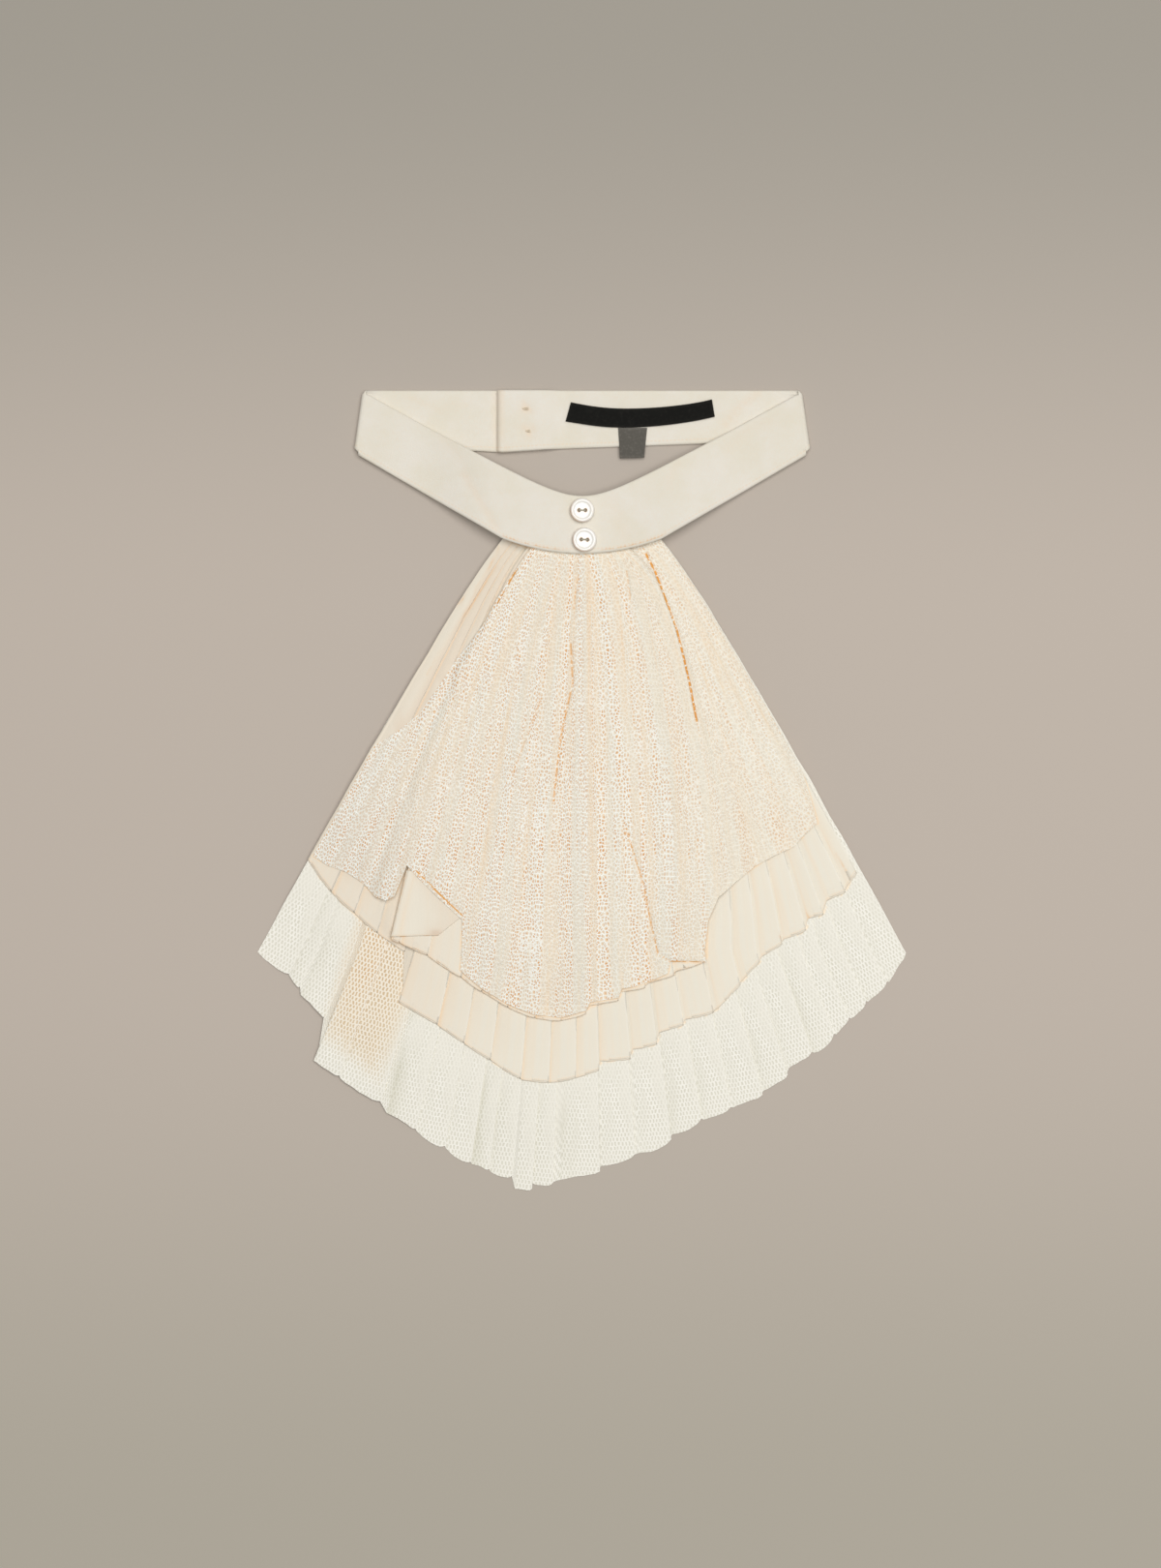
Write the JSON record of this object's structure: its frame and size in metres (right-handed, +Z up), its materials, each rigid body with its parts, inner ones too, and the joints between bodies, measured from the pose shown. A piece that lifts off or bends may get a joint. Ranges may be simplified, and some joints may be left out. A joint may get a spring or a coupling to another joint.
{
  "type": "pleated jabot",
  "caption": "Flat-laid jabot: a folded neck band over radiating knife-pleated tiers of net and georgette with a lace overlay and pearl buttons at the point.",
  "frame": {"origin": "on the surface that the jabot lies on, under the middle of its outline seen from above", "axes": "+Y towards the neck band, along the jabot's length; +Z up, out of the surface; +X to the right when seen from above with the band at the top"},
  "size_m": [0.2692, 0.3316, 0.0113],
  "materials": {
    "net": "off-white net of long hexagonal cells about 1.2 by 1.8 mm",
    "georgette": "cream crepe georgette, warm peach in its folds",
    "lace": "off-white mesh-ground lace with scattered flower motifs",
    "band_crepe": "cream fine crepe with a soft sheen",
    "label_tape": "black woven tape, bare",
    "tab_tape": "dark grey woven tape, bare",
    "pearl": "mother-of-pearl look, polished"
  },
  "bodies": {
    "root": {"net_tier": "net", "tucked_pleat": "georgette", "lower_tier": "georgette", "upper_tier": "georgette", "lace_overlay": "lace", "neck_band": "band_crepe", "label": "label_tape", "size_tab": "tab_tape", "button_upper": "pearl", "button_lower": "pearl"}
  },
  "joints": []
}
